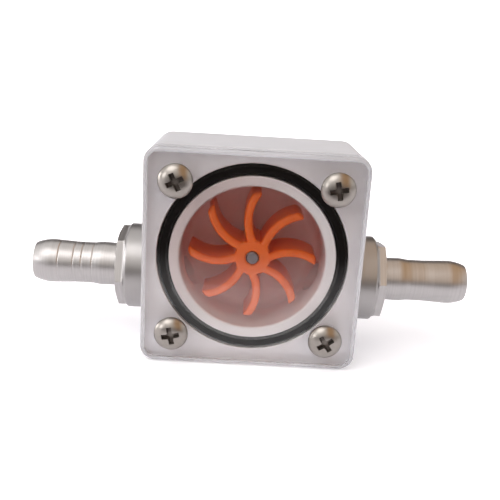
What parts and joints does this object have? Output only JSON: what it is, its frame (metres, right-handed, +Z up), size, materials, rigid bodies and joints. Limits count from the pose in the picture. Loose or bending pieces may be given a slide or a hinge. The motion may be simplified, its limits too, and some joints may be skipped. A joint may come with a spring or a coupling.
{
  "type": "water flow indicator",
  "caption": "Square sight flow indicator: a clear front cover over a chamber where a curved-blade wheel spins on a pin, with a barbed hose fitting on each side.",
  "frame": {"origin": "middle of the flat foot of the block and its cover, on the surface it stands on", "axes": "+X along the hoses from inlet to outlet, +Y from the clear cover to the back, +Z up"},
  "size_m": [0.1054, 0.0324, 0.05],
  "materials": {
    "housing_aluminium": "satin, bead-blasted and clear anodised",
    "clear_cover": "clear polished acrylic",
    "seal_rubber": "smooth black nitrile",
    "axle_steel": "ground stainless steel",
    "washer_plastic": "natural acetal",
    "wheel_plastic": "moulded orange plastic, semi-gloss",
    "screw_steel": "bright nickel-plated steel",
    "fitting_metal": "satin nickel plate on turned brass"
  },
  "bodies": {
    "housing": {"body_block": "housing_aluminium", "front_cover": "clear_cover", "cover_seal_ring": "seal_rubber", "inlet_seal_ring": "seal_rubber", "outlet_seal_ring": "seal_rubber", "axle_pin": "axle_steel", "thrust_washer": "washer_plastic", "cover_screw_top_left": "screw_steel", "cover_screw_top_right": "screw_steel", "cover_screw_bottom_left": "screw_steel", "cover_screw_bottom_right": "screw_steel", "inlet_fitting": "fitting_metal", "outlet_fitting": "fitting_metal"},
    "impeller": {"impeller_wheel": "wheel_plastic"}
  },
  "joints": [
    {"name": "impeller_spin", "type": "hinge", "parent": "housing", "child": "impeller", "pos_m": [0, -0.0025, 0.025], "axis": [0, -1, 0], "continuous": true}
  ]
}
